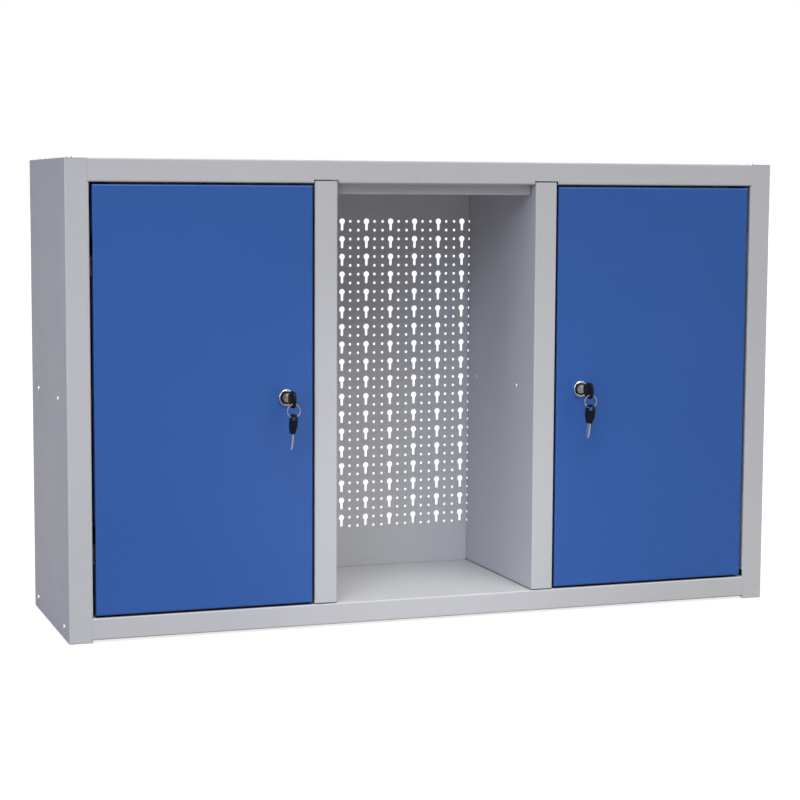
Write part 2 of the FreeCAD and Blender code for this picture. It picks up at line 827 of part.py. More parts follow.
def door_panel(label):
    """Door pan: a skin with its four edges folded back and in, cut out for hinges and lock."""
    body = new_body(label)
    face = rectangle(door_left, door_low, door_right, door_high)
    block = pad(body, "XZ_Plane", ZERO, size.door_depth, face)
    round_edges(body, block, outer_bend, lambda box: box.YMax < thick.value / 2)
    inside = rectangle(door_left + thick, door_low + thick, door_right - thick, door_high - thick)
    cut(body, "XZ_Plane", thick, size.door_depth - thick * 2, inside)
    lip = size.door_lip_width
    mouth = rectangle(door_left + lip, door_low + lip, door_right - lip, door_high - lip)
    cut(body, "XZ_Plane", size.door_depth - thick, thick, mouth)
    # Room for the hinges through the hinge edge
    cut_end = hinge_x + knuckle_radius + size.hinge_cut_clearance
    openings = [
        rectangle(door_left - thick, middle - hinge_half_cut, cut_end, middle + hinge_half_cut)
        for middle in hinge_middles.values()
    ]
    cut(body, "XZ_Plane", outer_bend, size.door_depth - outer_bend, *openings)
    cut(body, "XZ_Plane", ZERO, thick, disc(lock_x, size.lock_height, barrel_hole))
    return body


def hinge(level):
    """Concealed hinge: a frame leaf through the stile's slot, a pin and a leaf on the door's inner face."""
    low = hinge_middles[level] - size.hinge_length / 2
    half = size.hinge_length / 2 - size.hinge_knuckle_gap / 2
    upper = hinge_middles[level] + size.hinge_knuckle_gap / 2
    leaf = size.hinge_leaf_thickness
    knuckle = disc(hinge_x, hinge_y, knuckle_radius)

    def frame_leaf(label):
        body = new_body(label)
        base_face = size.stile_width - thick
        base_front = outer_bend + size.hinge_base_gap
        base = rectangle(base_face - leaf, base_front, base_face, hinge_arm_rear)
        pad(body, "XY_Plane", low, size.hinge_length, base)
        pad(body, "XY_Plane", low, half, [
            (base_face - leaf, hinge_arm_front),
            (hinge_x - leaf / 2, hinge_arm_front),
            (hinge_x - leaf / 2, hinge_y),
            (hinge_x + leaf / 2, hinge_y),
            (hinge_x + leaf / 2, hinge_arm_rear),
            (base_face - leaf, hinge_arm_rear),
        ])
        pad(body, "XY_Plane", low, half, knuckle)
        cut(body, "XY_Plane", low, half, disc(hinge_x, hinge_y, size.hinge_pin_radius))
        return body

    def door_leaf(label):
        body = new_body(label)
        plate = rectangle(hinge_x, thick, hinge_x + size.hinge_leaf_length, thick + leaf)
        pad(body, "XY_Plane", upper, half, plate)
        pad(body, "XY_Plane", upper, half, knuckle)
        bore = size.hinge_pin_radius + size.hinge_pin_clearance
        cut(body, "XY_Plane", upper, half, disc(hinge_x, hinge_y, bore))
        return body

    def hinge_pin(label):
        rod = doc.addObject("Part::Cylinder", label)
        rod.Label = label
        rod.setExpression("Radius", size.hinge_pin_radius.text)
        rod.setExpression("Height", size.hinge_length.text)
        place(rod, hinge_x, hinge_y, low)
        nodes[label] = rod
        return rod

    both_sides(frame_leaf, level, "hinge_frame_leaf")
    both_sides(hinge_pin, level, "hinge_pin")
    both_sides(door_leaf, level, "hinge_door_leaf")


def lock_body(label, x):
    """Bezel and barrel in one turned piece, seated on the door's front face."""
    body = new_body(label, x, -size.bezel_thickness, size.lock_height, ALONG_Y)
    recess_radius = plug_bore + size.bezel_recess_width
    bezel_radius = barrel_radius + size.bezel_overhang
    barrel_end = size.bezel_thickness + cam_front - size.cam_clearance
    lathe(
        body,
        (plug_bore, size.bezel_recess_depth),
        (recess_radius, size.bezel_recess_depth),
        (recess_radius, ZERO),
        (bezel_radius, ZERO, size.bezel_edge_radius),
        (bezel_radius, size.bezel_thickness),
        (barrel_radius, size.bezel_thickness),
        (barrel_radius, barrel_end),
        (plug_bore, barrel_end),
    )


def lock_nut(label, x):
    """Hexagon nut behind the door's skin."""
    blank = doc.addObject("Part::Prism", f"{label}_blank")
    blank.Polygon = 6
    blank.setExpression("Circumradius", (barrel_radius + size.nut_wall).text)
    blank.setExpression("Height", size.nut_thickness.text)
    bore = doc.addObject("Part::Cylinder", f"{label}_bore")
    bore.setExpression("Radius", barrel_hole.text)
    bore.setExpression("Height", size.nut_thickness.text)
    for item in (blank, bore):
        place(item, x, thick, size.lock_height, ALONG_Y)
    nut = doc.addObject("Part::Cut", label)
    nut.Label = label
    nut.Base = blank
    nut.Tool = bore
    nodes[label] = nut


def lock_plug(label, x):
    """Turning plug with a keyway in front, and behind it a square spigot with a screw hole."""
    body = new_body(label, x, plug_front, size.lock_height, ALONG_Y)
    length = cam_front - plug_front
    pad(body, "XY_Plane", ZERO, length, disc(ZERO, ZERO, size.plug_radius))
    half = size.spigot_width / 2
    pad(body, "XY_Plane", length, size.cam_thickness, rectangle(-half, -half, half, half))
    half_width = size.blade_thickness / 2 + size.keyway_clearance
    half_height = size.blade_width / 2 + size.keyway_clearance
    entered = size.blade_length - size.bow_stand - plug_front
    keyway = rectangle(-half_width, -half_height, half_width, half_height)
    cut(body, "XY_Plane", ZERO, entered + size.keyway_end_gap, keyway)
    hole_start = length + size.cam_thickness - size.cam_screw_length
    cut(body, "XY_Plane", hole_start, size.cam_screw_length, disc(ZERO, ZERO, size.cam_screw_radius))


def lock_cam(label, x):
    """Flat cam that points down when unlocked and turns behind the post to lock."""
    body = new_body(label, x, cam_front, size.lock_height, ALONG_Y)
    half = size.cam_width / 2
    hole = size.spigot_width / 2 + size.spigot_clearance
    rounding = size.cam_corner_radius
    blade = [
        (-half, -half, rounding),
        (half, -half, rounding),
        (half, cam_reach, rounding),
        (-half, cam_reach, rounding),
    ]
    pad(body, "XY_Plane", ZERO, size.cam_thickness, blade, rectangle(-hole, -hole, hole, hole))


def cam_screw(label, x):
    """Screw that holds the cam on the plug's spigot."""
    body = new_body(label, x, cam_front + size.cam_thickness, size.lock_height, ALONG_Y)
    head_radius = size.cam_screw_radius + size.cam_screw_head_overhang
    lathe(
        body,
        (ZERO, -size.cam_screw_length),
        (size.cam_screw_radius, -size.cam_screw_length),
        (size.cam_screw_radius, ZERO),
        (head_radius, ZERO),
        (head_radius, size.cam_screw_head_height, size.cam_screw_head_height / 2),
        (ZERO, size.cam_screw_head_height),
    )


def key_bow(label, spot, rotation):
    """Plastic key head along X, wide end first, with a slot for the ring and a pocket for the blade."""
    body = new_body(label, *spot, rotation)
    half = size.bow_width / 2
    neck = size.bow_neck_width / 2
    shoulder = size.bow_length - size.bow_neck_length
    level = -size.bow_thickness / 2
    pad(body, "XY_Plane", level, size.bow_thickness, [
        (ZERO, -half, size.bow_corner_radius),
        (shoulder, -half),
        (size.bow_length, -neck),
        (size.bow_length, neck),
        (shoulder, half),
        (ZERO, half, size.bow_corner_radius),
    ])
    slot_end = size.bow_rim + size.bow_slot_width
    reach = size.bow_slot_length / 2
    rounding = size.bow_slot_corner_radius
    slotted = cut(body, "XY_Plane", level, size.bow_thickness, [
        (size.bow_rim, -reach, rounding),
        (slot_end, -reach, rounding),
        (slot_end, reach, rounding),
        (size.bow_rim, reach, rounding),
    ])

    def on_flat_side(box):
        past_neck = box.XMin > (shoulder + size.bow_neck_length / 2).value
        return box.ZLength < size.bow_thickness.value / 2 and not past_neck

    round_edges(body, slotted, size.bow_edge_radius, on_flat_side)
    half_width = size.blade_width / 2
    half_thick = size.blade_thickness / 2
    tang = rectangle(-half_width, -half_thick, half_width, half_thick)
    cut(body, "YZ_Plane", size.bow_length - size.blade_tang, size.blade_tang, tang)


def key_blade(label, spot, rotation):
    """Flat key blade along X, from its tang inside the bow to a tapered tip, with cuts along one edge."""
    body = new_body(label, *spot, rotation)
    half = size.blade_width / 2
    tang_end = size.bow_length - size.blade_tang
    tip = size.bow_length + size.blade_length
    taper = tip - size.blade_tip_length
    tip_half = half * BLADE_TIP_WIDTH_SHARE
    outline = [(tang_end, -half), (taper, -half), (tip, -tip_half), (tip, tip_half), (taper, half)]
    for number, share in enumerate(BLADE_CUT_DEPTH_SHARES):
        ridge = taper - size.blade_cut_pitch * number
        outline.append((ridge - size.blade_cut_pitch / 2, half - size.blade_cut_depth * share))
        outline.append((ridge - size.blade_cut_pitch, half))
    outline.append((tang_end, half))
    pad(body, "XY_Plane", -size.blade_thickness / 2, size.blade_thickness, outline)


def key(label, spot, rotation):
    key_bow(f"{label}_bow", spot, rotation)
    key_blade(f"{label}_blade", spot, rotation)


def key_ring(label, x):
    """Closed wire ring through the slot of the key in the lock."""
    ring = doc.addObject("Part::Torus", label)
    ring.Label = label
    ring.setExpression("Radius1", size.ring_radius.text)
    ring.setExpression("Radius2", size.ring_wire_radius.text)
    place(ring, x, -ring_depth, ring_top - size.ring_radius, ALONG_Y)
    nodes[label] = ring


def spare_key(label, x):
    """Spare key that hangs by its slot from the foot of the ring, a little turned and leaning."""
    twist = FreeCAD.Rotation(FreeCAD.Vector(0, 0, 1), SPARE_TWIST_DEGREES)
    roll = FreeCAD.Rotation(FreeCAD.Vector(0, 1, 0), SPARE_ROLL_DEGREES)
    hanging = roll.multiply(twist).multiply(ALONG_X)
    down = hanging.multVec(FreeCAD.Vector(1, 0, 0))
    hook = size.bow_rim + size.ring_wire_radius + size.spare_clearance
    ring_foot = ring_top - size.ring_radius * 2
    spot = (x - hook * down.x, -ring_depth - hook * down.y, ring_foot - hook * down.z)
    key(label, spot, hanging)


def lock_set(side, x):
    """A lock with its key, ring and spare key."""
    lock_body(f"{side}_lock_body", x)
    lock_nut(f"{side}_lock_nut", x)
    lock_plug(f"{side}_lock_plug", x)
    lock_cam(f"{side}_lock_cam", x)
    cam_screw(f"{side}_cam_screw", x)
    in_lock = FreeCAD.Rotation(FreeCAD.Vector(1, 1, 1), 120)
    key(f"{side}_key", (x, -bow_front, size.lock_height), in_lock)
    key_ring(f"{side}_key_ring", x)
    spare_key(f"{side}_spare_key", x)


def check_model():
    """Stop if an object failed, a piece is broken or in bits, or a cut took nothing away."""
    for item in doc.Objects:
        if {"Invalid", "Error"} & set(item.State):
            raise RuntimeError(f"{item.Label} failed: {item.State}")
        if item.TypeId == "PartDesign::Pocket":
            before = item.BaseFeature.Shape.Volume
            if before - item.Shape.Volume < before * LEAST_CUT_SHARE:
                raise RuntimeError(f"{item.Label} cuts nothing")
    for label, item in nodes.items():
        shape = item.Shape
        wanted = len(item.Links) if item.TypeId == "Part::Compound" else 1
        if shape.isNull() or not shape.isValid() or len(shape.Solids) != wanted:
            raise RuntimeError(f"{label} is broken")


both_sides(side_panel, "side_panel")
top_panel()
bottom_panel()
both_sides(divider, "divider")
perforated_back()
both_sides(back_panel, "back_panel")
both_sides(shelf, "shelf")
screws()
rivets()
both_sides(door_panel, "door_panel")
for level in hinge_middles:
    hinge(level)
lock_set("left", lock_x)
lock_set("right", width - lock_x)

doc.recompute()
check_model()
os.makedirs("parts", exist_ok=True)
for label, item in nodes.items():
    item.Shape.exportStep(f"parts/{label}.step")
print(f"{len(nodes)} pieces written")
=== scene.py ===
"""Looks of the tool cabinet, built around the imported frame."""
import math

import bpy
from mathutils import Matrix, Vector


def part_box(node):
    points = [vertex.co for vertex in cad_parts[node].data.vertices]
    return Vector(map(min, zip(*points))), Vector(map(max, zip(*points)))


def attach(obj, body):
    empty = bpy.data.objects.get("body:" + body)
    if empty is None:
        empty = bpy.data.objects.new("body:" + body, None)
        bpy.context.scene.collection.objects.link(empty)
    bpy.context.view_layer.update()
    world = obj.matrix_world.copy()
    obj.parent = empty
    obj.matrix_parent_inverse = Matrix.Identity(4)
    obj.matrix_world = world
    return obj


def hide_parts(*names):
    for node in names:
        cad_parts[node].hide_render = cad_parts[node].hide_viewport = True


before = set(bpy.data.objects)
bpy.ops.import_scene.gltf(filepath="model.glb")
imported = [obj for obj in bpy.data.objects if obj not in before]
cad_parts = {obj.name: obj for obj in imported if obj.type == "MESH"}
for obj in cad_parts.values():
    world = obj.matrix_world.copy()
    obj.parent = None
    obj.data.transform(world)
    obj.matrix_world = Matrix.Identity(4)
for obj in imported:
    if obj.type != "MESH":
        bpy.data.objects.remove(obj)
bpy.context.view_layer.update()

MM = 0.001
SIDES = ("left", "right")

# Camera fitted to the photograph
CAMERA_PLACE = (-0.9482, -2.6500, 0.5770)
CAMERA_TARGET = (-0.0136, 0.0, 0.2901)
CAMERA_ROLL_DEGREES = 0.2945
CAMERA_LENS_MM = 90.96
CAMERA_REACH = 500.0

# Colours are linear
GREY_PAINT = (0.490, 0.500, 0.540)
BLUE_PAINT = (0.0265, 0.100, 0.368)
WORN_STEEL = (0.62, 0.62, 0.63)
# Brownish tone that the paint is darkened towards in corners
CORNER_BROWN = (0.20, 0.19, 0.17)
# Near-black painted shade, mixed into paint and zinc deep in gaps
PAINTED_SHADE = (0.012, 0.012, 0.015)
# Dark painted shade for zinc in crevices
CREVICE_SHADE = (0.05, 0.05, 0.05)
ZINC_COOL = (0.78, 0.80, 0.83)
ZINC_WARM = (0.90, 0.89, 0.86)
ZINC_FLOWER = (0.62, 0.63, 0.65)
CHROME_BRIGHT = (0.78, 0.79, 0.81)
CHROME_HAZE = (0.66, 0.67, 0.69)
# Dark painted shade for chrome in crevices
CHROME_CREVICE_SHADE = (0.04, 0.04, 0.04)
# Dark painted shade for nickel in crevices
NICKEL_CREVICE_SHADE = (0.035, 0.033, 0.03)
PLUG_NICKEL = (0.62, 0.61, 0.58)
BLADE_NICKEL = (0.86, 0.86, 0.85)
RING_NICKEL = (0.70, 0.71, 0.73)
PLASTIC_BLACK = (0.004, 0.004, 0.0045)
PLASTIC_DULL = (0.009, 0.009, 0.010)
PLASTIC_WORN = (0.035, 0.035, 0.037)
FLOOR_PALE = (0.25, 0.25, 0.25)
FLOOR_PALER = (0.27, 0.27, 0.27)
WHITE = (1.0, 1.0, 1.0)

# Range that holds most of a noise's values
NOISE_SPAN = (0.3, 0.7)
# How far a rounded normal agrees with the true one on a flat face and on a sharp edge
FLAT_AGREEMENT = 0.995
SHARP_AGREEMENT = 0.80
BEVEL_SAMPLES = 4
CREASE_SAMPLES = 6

# Stage
FLOOR_HALF_SIZE = 60.0
FLOOR_BOUNCE = (0.36, 0.345, 0.325)
FLOOR_GLOW = (0.80, 0.80, 0.80)
WORLD_TINT = (0.96, 0.98, 1.04)
WORLD_STRENGTH = 0.02
WORLD_SHINE = 0.28
WORLD_SEEN = 1.0
# Far lights: direction that the light comes from, strength, softness in degrees, tint
FAR_LIGHTS = {
    "top_light": ((-0.092, -0.522, 0.848), 1.58, 40.0, (1.02, 1.0, 0.90)),
    "high_light": ((-0.106, -0.290, 0.951), 1.06, 30.0, (1.02, 1.0, 0.89)),
    "right_light": ((0.383, -0.663, 0.643), 0.62, 30.0, (1.04, 1.0, 0.86)),
    "left_light": ((-0.562, -0.720, 0.407), 0.58, 25.0, (0.94, 1.0, 1.28)),
    "side_fill": ((-0.981, -0.086, 0.174), 0.59, 40.0, (0.97, 1.0, 1.40)),
    "rear_light": ((0.237, 0.805, 0.544), 0.85, 45.0, (1.0, 1.0, 1.0)),
}
# Softboxes in front: place, power in watts, tint
SOFTBOX_SIZE = 0.40
SOFTBOXES = {
    "left_softbox": ((-0.70, -0.60, 0.30), 0.34, (0.93, 1.0, 1.34)),
    "front_softbox": ((-0.02, -0.42, 0.16), 0.42, (0.99, 1.0, 1.04)),
}


class Finish:
    """A procedural material that is wired up step by step."""

    def __init__(self, name):
        self.material = bpy.data.materials.new(name)
        self.material.use_nodes = True
        self.tree = self.material.node_tree
        self.shader = self.tree.nodes["Principled BSDF"]
        self.place = self.add("ShaderNodeTexCoord").outputs["Object"]

    def add(self, kind, **settings):
        node = self.tree.nodes.new(kind)
        for name, value in settings.items():
            setattr(node, name, value)
        return node

    def give(self, socket, value):
        """Link a socket to another one, or set it to a plain value."""
        if isinstance(value, bpy.types.NodeSocket):
            self.tree.links.new(value, socket)
        else:
            socket.default_value = value

    def set(self, **values):
        """Set or link sockets of the shader; an underscore stands for a space."""
        for name, value in values.items():
            if isinstance(value, tuple):
                value = (*value, 1.0)
            self.give(self.shader.inputs[name.replace("_", " ")], value)

    def stretched(self, scale):
        """The object's own coordinates, scaled along each axis."""
        mapping = self.add("ShaderNodeMapping")
        self.give(mapping.inputs["Vector"], self.place)
        mapping.inputs["Scale"].default_value = scale
        return mapping.outputs["Vector"]

    def noise(self, scale, detail=2.0, roughness=0.5, stretch=None):
        node = self.add("ShaderNodeTexNoise")
        self.give(node.inputs["Vector"], self.stretched(stretch) if stretch else self.place)
        node.inputs["Scale"].default_value = scale
        node.inputs["Detail"].default_value = detail
        node.inputs["Roughness"].default_value = roughness
        return node.outputs[0]

    def cells(self, scale):
        node = self.add("ShaderNodeTexVoronoi")
        self.give(node.inputs["Vector"], self.place)
        node.inputs["Scale"].default_value = scale
        return node.outputs["Distance"]

    def fit(self, value, low, high, to_low=0.0, to_high=1.0):
        """Map a range of values onto another, held at its ends."""
        node = self.add("ShaderNodeMapRange", clamp=True)
        for name, number in (
            ("From Min", low),
            ("From Max", high),
            ("To Min", to_low),
            ("To Max", to_high),
        ):
            node.inputs[name].default_value = number
        self.give(node.inputs["Value"], value)
        return node.outputs["Result"]

    def times(self, first, second):
        node = self.add("ShaderNodeMath", operation="MULTIPLY")
        self.give(node.inputs[0], first)
        self.give(node.inputs[1], second)
        return node.outputs[0]

    def mix(self, factor, first, second):
        """Blend two colours, each a tuple or a socket."""
        node = self.add("ShaderNodeMix", data_type="RGBA")
        self.give(node.inputs[0], factor)
        for socket, colour in ((node.inputs[6], first), (node.inputs[7], second)):
            self.give(socket, (*colour, 1.0) if isinstance(colour, tuple) else colour)
        return node.outputs[2]

    def rounded_normal(self, radius):
        """The normal that the surface would have with its edges rounded."""
        node = self.add("ShaderNodeBevel", samples=BEVEL_SAMPLES)
        node.inputs["Radius"].default_value = radius
        return node.outputs["Normal"]

    def edges(self, radius):
        """Near one along sharp edges, zero on flat faces."""
        rounded = self.rounded_normal(radius)
        true_normal = self.add("ShaderNodeNewGeometry").outputs["Normal"]
        dot = self.add("ShaderNodeVectorMath", operation="DOT_PRODUCT")
        self.give(dot.inputs[0], rounded)
        self.give(dot.inputs[1], true_normal)
        return self.fit(dot.outputs["Value"], FLAT_AGREEMENT, SHARP_AGREEMENT)

    def creases(self, distance, start=0.75, full=0.25):
        """Near one deep in corners, zero in the open."""
        node = self.add("ShaderNodeAmbientOcclusion", samples=CREASE_SAMPLES)
        node.inputs["Distance"].default_value = distance
        return self.fit(node.outputs["AO"], start, full)

    def bump(self, *layers, soften=0.0):
        """Stack height layers, each a value, a strength and a depth, on edges softened by a radius."""
        normal = self.rounded_normal(soften) if soften else None
        for height, strength, distance in layers:
            node = self.add("ShaderNodeBump")
            node.inputs["Strength"].default_value = strength
            node.inputs["Distance"].default_value = distance
            self.give(node.inputs["Height"], height)
            if normal is not None:
                self.give(node.inputs["Normal"], normal)
            normal = node.outputs["Normal"]
        self.give(self.shader.inputs["Normal"], normal)


def shade(colour, factor):
    return tuple(channel * factor for channel in colour)


# Powder paint; a relief is a strength and a depth
PAINT_DRIFT = 0.035
PAINT_SPECKLE_SHADE = 0.70
PAINT_SPECKLE_SHARE = 0.10
# Share of the brownish darkening in corners
PAINT_CORNER_BROWN_SHARE = 0.35
# Share of the painted shade deep in gaps
PAINT_GAP_SHADE_SHARE = 0.9
PAINT_SMOOTHER = 0.05
PAINT_ROUGHER = 0.06
PAINT_SPECULAR = 0.38
PAINT_WORN_WIDTH = 0.7 * MM
# How far the brownish darkening in corners and the painted shade deep in gaps reach, and the span of
# that painted shade
PAINT_CORNER_BROWN_REACH = 9.0 * MM
PAINT_GAP_SHADE_REACH = 6.0 * MM
PAINT_GAP_SHADE_SPAN = (0.48, 0.22)
PAINT_EDGE_RADIUS = 0.35 * MM
PAINT_WAVES_RELIEF = (0.10, 1.0 * MM)
PAINT_PEEL_RELIEF = (0.16, 0.12 * MM)
PAINT_GRAIN_RELIEF = (0.10, 0.04 * MM)


def powder_coat(name, colour, rough, wear):
    """Baked powder paint: slow drift of shade, orange peel, rubbed edges, a brownish darkening in
    corners and near-black painted shade deep in gaps.
    """
    coat = Finish(name)
    drift = coat.fit(coat.noise(scale=2.6, detail=3.0), *NOISE_SPAN)
    speckle = coat.fit(coat.noise(scale=900.0, detail=1.0), 0.35, 0.65)
    tone = coat.mix(drift, shade(colour, 1 - PAINT_DRIFT), shade(colour, 1 + PAINT_DRIFT))
    dots = coat.times(speckle, PAINT_SPECKLE_SHARE)
    tone = coat.mix(dots, tone, shade(colour, PAINT_SPECKLE_SHADE))
    edges = coat.edges(PAINT_WORN_WIDTH)
    rubbed = coat.times(edges, coat.fit(coat.noise(scale=70.0, detail=4.0), 0.42, 0.68))
    tone = coat.mix(coat.times(rubbed, wear), tone, WORN_STEEL)
    # Corners darkened towards brown, broken by noise
    corners = coat.creases(PAINT_CORNER_BROWN_REACH)
    corner_brown = coat.times(corners, coat.fit(coat.noise(scale=40.0, detail=3.0), 0.3, 0.8))
    tone = coat.mix(coat.times(corner_brown, PAINT_CORNER_BROWN_SHARE), tone, CORNER_BROWN)
    # Painted shade: near-black deep in gaps and creases
    shaded_gaps = coat.creases(PAINT_GAP_SHADE_REACH, *PAINT_GAP_SHADE_SPAN)
    tone = coat.mix(coat.times(shaded_gaps, PAINT_GAP_SHADE_SHARE), tone, PAINTED_SHADE)
    smudge = coat.noise(scale=9.0, detail=4.0, roughness=0.6)
    rough_now = coat.fit(smudge, 0.35, 0.7, rough - PAINT_SMOOTHER, rough + PAINT_ROUGHER)
    coat.set(Base_Color=tone, Roughness=rough_now, Specular_IOR_Level=PAINT_SPECULAR)
    peel = coat.noise(scale=520.0, detail=1.5)
    grain = coat.noise(scale=2400.0, detail=1.0)
    waves = coat.noise(scale=7.0, detail=1.0)
    coat.bump(
        (waves, *PAINT_WAVES_RELIEF),
        (peel, *PAINT_PEEL_RELIEF),
        (grain, *PAINT_GRAIN_RELIEF),
        soften=PAINT_EDGE_RADIUS,
    )
    return coat.material


# Zinc plating
ZINC_FLOWER_SHARE = 0.25
# Painted shade in crevices and, darker, deep in gaps: shares, reaches and span
ZINC_CREVICE_SHADE_SHARE = 0.6
ZINC_CREVICE_SHADE_REACH = 2.0 * MM
ZINC_GAP_SHADE_REACH = 14.0 * MM
ZINC_GAP_SHADE_SPAN = (0.52, 0.34)
ZINC_ROUGHNESS = (0.40, 0.58)
ZINC_EDGE_RADIUS = 0.15 * MM
ZINC_GRAIN_RELIEF = (0.18, 0.05 * MM)


def zinc_plate(name, gap_shade):
    """Bright zinc, cloudy and faintly blue and yellow, with painted shade in crevices and a share of
    near-black painted shade deep in gaps.
    """
    zinc = Finish(name)
    cloud = zinc.fit(zinc.noise(scale=160.0, detail=4.0), *NOISE_SPAN)
    flower = zinc.fit(zinc.cells(scale=420.0), 0.0, 0.9)
    colour = zinc.mix(cloud, ZINC_COOL, ZINC_WARM)
    colour = zinc.mix(zinc.times(flower, ZINC_FLOWER_SHARE), colour, ZINC_FLOWER)
    # Painted shade: darker in crevices
    crevice_shade = zinc.creases(ZINC_CREVICE_SHADE_REACH)
    colour = zinc.mix(zinc.times(crevice_shade, ZINC_CREVICE_SHADE_SHARE), colour, CREVICE_SHADE)
    # Painted shade: near-black deep in gaps, by the given share
    shaded_gaps = zinc.creases(ZINC_GAP_SHADE_REACH, *ZINC_GAP_SHADE_SPAN)
    colour = zinc.mix(zinc.times(shaded_gaps, gap_shade), colour, PAINTED_SHADE)
    rough = zinc.fit(zinc.noise(scale=300.0, detail=3.0), *NOISE_SPAN, *ZINC_ROUGHNESS)
    zinc.set(Base_Color=colour, Roughness=rough, Metallic=1.0)
    grain = zinc.noise(scale=900.0, detail=2.0)
    zinc.bump((grain, *ZINC_GRAIN_RELIEF), soften=ZINC_EDGE_RADIUS)
    return zinc.material


# Chrome plating
# Share and reach of the painted shade in crevices
CHROME_CREVICE_SHADE_SHARE = 0.7
CHROME_CREVICE_SHADE_REACH = 1.2 * MM
CHROME_ROUGHNESS = (0.07, 0.20)
CHROME_EDGE_RADIUS = 0.12 * MM
CHROME_MARKS_STRETCH = (1.0, 1.0, 7.0)
CHROME_MARKS_RELIEF = (0.05, 0.02 * MM)


def chrome():
    """Polished plating on the lock's bezel, with a haze of fine marks and painted shade in crevices.
    """
    plate = Finish("bright_chrome")
    haze = plate.fit(plate.noise(scale=240.0, detail=4.0), 0.35, 0.7)
    colour = plate.mix(haze, CHROME_BRIGHT, CHROME_HAZE)
    # Painted shade: darker in crevices
    crevice_shade = plate.creases(CHROME_CREVICE_SHADE_REACH)
    colour = plate.mix(plate.times(crevice_shade, CHROME_CREVICE_SHADE_SHARE), colour, CHROME_CREVICE_SHADE)
    rough = plate.fit(plate.noise(scale=500.0, detail=3.0), 0.3, 0.75, *CHROME_ROUGHNESS)
    plate.set(Base_Color=colour, Roughness=rough, Metallic=1.0)
    marks = plate.noise(scale=700.0, detail=3.0, stretch=CHROME_MARKS_STRETCH)
    plate.bump((marks, *CHROME_MARKS_RELIEF), soften=CHROME_EDGE_RADIUS)
    return plate.material


# Nickel plating
NICKEL_DARK_SHADE = 0.86
NICKEL_LIGHT_SHADE = 1.10
# Share and reach of the painted shade in crevices
NICKEL_CREVICE_SHADE_SHARE = 0.75
NICKEL_CREVICE_SHADE_REACH = 0.9 * MM
NICKEL_ROUGHNESS = (0.20, 0.36)
NICKEL_EDGE_RADIUS = 0.10 * MM
NICKEL_GRAIN_RELIEF = (0.14, 0.03 * MM)


def nickel(name, stretch, colour):
    """Satin nickel with a brushed grain along one way and painted shade in crevices."""
    plate = Finish(name)
    brushed = plate.noise(scale=900.0, detail=3.0, roughness=0.6, stretch=stretch)
    streaks = plate.fit(brushed, *NOISE_SPAN)
    tone = plate.mix(streaks, shade(colour, NICKEL_DARK_SHADE), shade(colour, NICKEL_LIGHT_SHADE))
    # Painted shade: darker in crevices
    crevice_shade = plate.creases(NICKEL_CREVICE_SHADE_REACH)
    tone = plate.mix(plate.times(crevice_shade, NICKEL_CREVICE_SHADE_SHARE), tone, NICKEL_CREVICE_SHADE)
    rough = plate.fit(plate.noise(scale=380.0, detail=3.0), *NOISE_SPAN, *NICKEL_ROUGHNESS)
    plate.set(Base_Color=tone, Roughness=rough, Metallic=1.0)
    plate.bump((brushed, *NICKEL_GRAIN_RELIEF), soften=NICKEL_EDGE_RADIUS)
    return plate.material


# Black plastic
PLASTIC_WORN_SHARE = 0.5
PLASTIC_WORN_WIDTH = 0.6 * MM
PLASTIC_ROUGHNESS = (0.36, 0.54)
PLASTIC_SPECULAR = 0.16
PLASTIC_EDGE_RADIUS = 0.10 * MM
PLASTIC_SPARK_RELIEF = (0.30, 0.04 * MM)


def black_plastic():
    """Moulded black plastic: fine spark texture, cloudy, and greyed along handled edges."""
    plastic = Finish("black_plastic")
    spark = plastic.noise(scale=1900.0, detail=2.0)
    cloud = plastic.fit(plastic.noise(scale=220.0, detail=3.0), *NOISE_SPAN)
    tone = plastic.mix(cloud, PLASTIC_BLACK, PLASTIC_DULL)
    edges = plastic.edges(PLASTIC_WORN_WIDTH)
    handled = plastic.times(edges, plastic.fit(plastic.noise(scale=320.0, detail=3.0), 0.35, 0.7))
    tone = plastic.mix(plastic.times(handled, PLASTIC_WORN_SHARE), tone, PLASTIC_WORN)
    rough = plastic.fit(plastic.noise(scale=130.0, detail=3.0), *NOISE_SPAN, *PLASTIC_ROUGHNESS)
    plastic.set(Base_Color=tone, Roughness=rough, Specular_IOR_Level=PLASTIC_SPECULAR)
    plastic.bump((spark, *PLASTIC_SPARK_RELIEF), soften=PLASTIC_EDGE_RADIUS)
    return plastic.material


# Studio floor
FLOOR_ROUGHNESS = (0.75, 0.9)
FLOOR_SPECULAR = 0.1
FLOOR_GRAIN_RELIEF = (0.05, 0.2 * MM)


def studio_floor():
    """Pale matt floor that glows when seen directly and throws back some warm light."""
    floor = Finish("studio_floor")
    drift = floor.fit(floor.noise(scale=1.3, detail=3.0), *NOISE_SPAN)
    seen = floor.mix(drift, FLOOR_PALE, FLOOR_PALER)
    direct = floor.add("ShaderNodeLightPath").outputs["Is Camera Ray"]
    floor.set(
        Base_Color=floor.mix(direct, FLOOR_BOUNCE, seen),
        Emission_Color=FLOOR_GLOW,
        Emission_Strength=direct,
        Roughness=floor.fit(floor.noise(scale=30.0, detail=3.0), *NOISE_SPAN, *FLOOR_ROUGHNESS),
        Specular_IOR_Level=FLOOR_SPECULAR,
    )
    floor.bump((floor.noise(scale=260.0, detail=2.0), *FLOOR_GRAIN_RELIEF))
    return floor.material


FRAME_PAINT = powder_coat("frame_paint", GREY_PAINT, rough=0.44, wear=0.30)
DOOR_PAINT = powder_coat("door_paint", BLUE_PAINT, rough=0.40, wear=0.22)
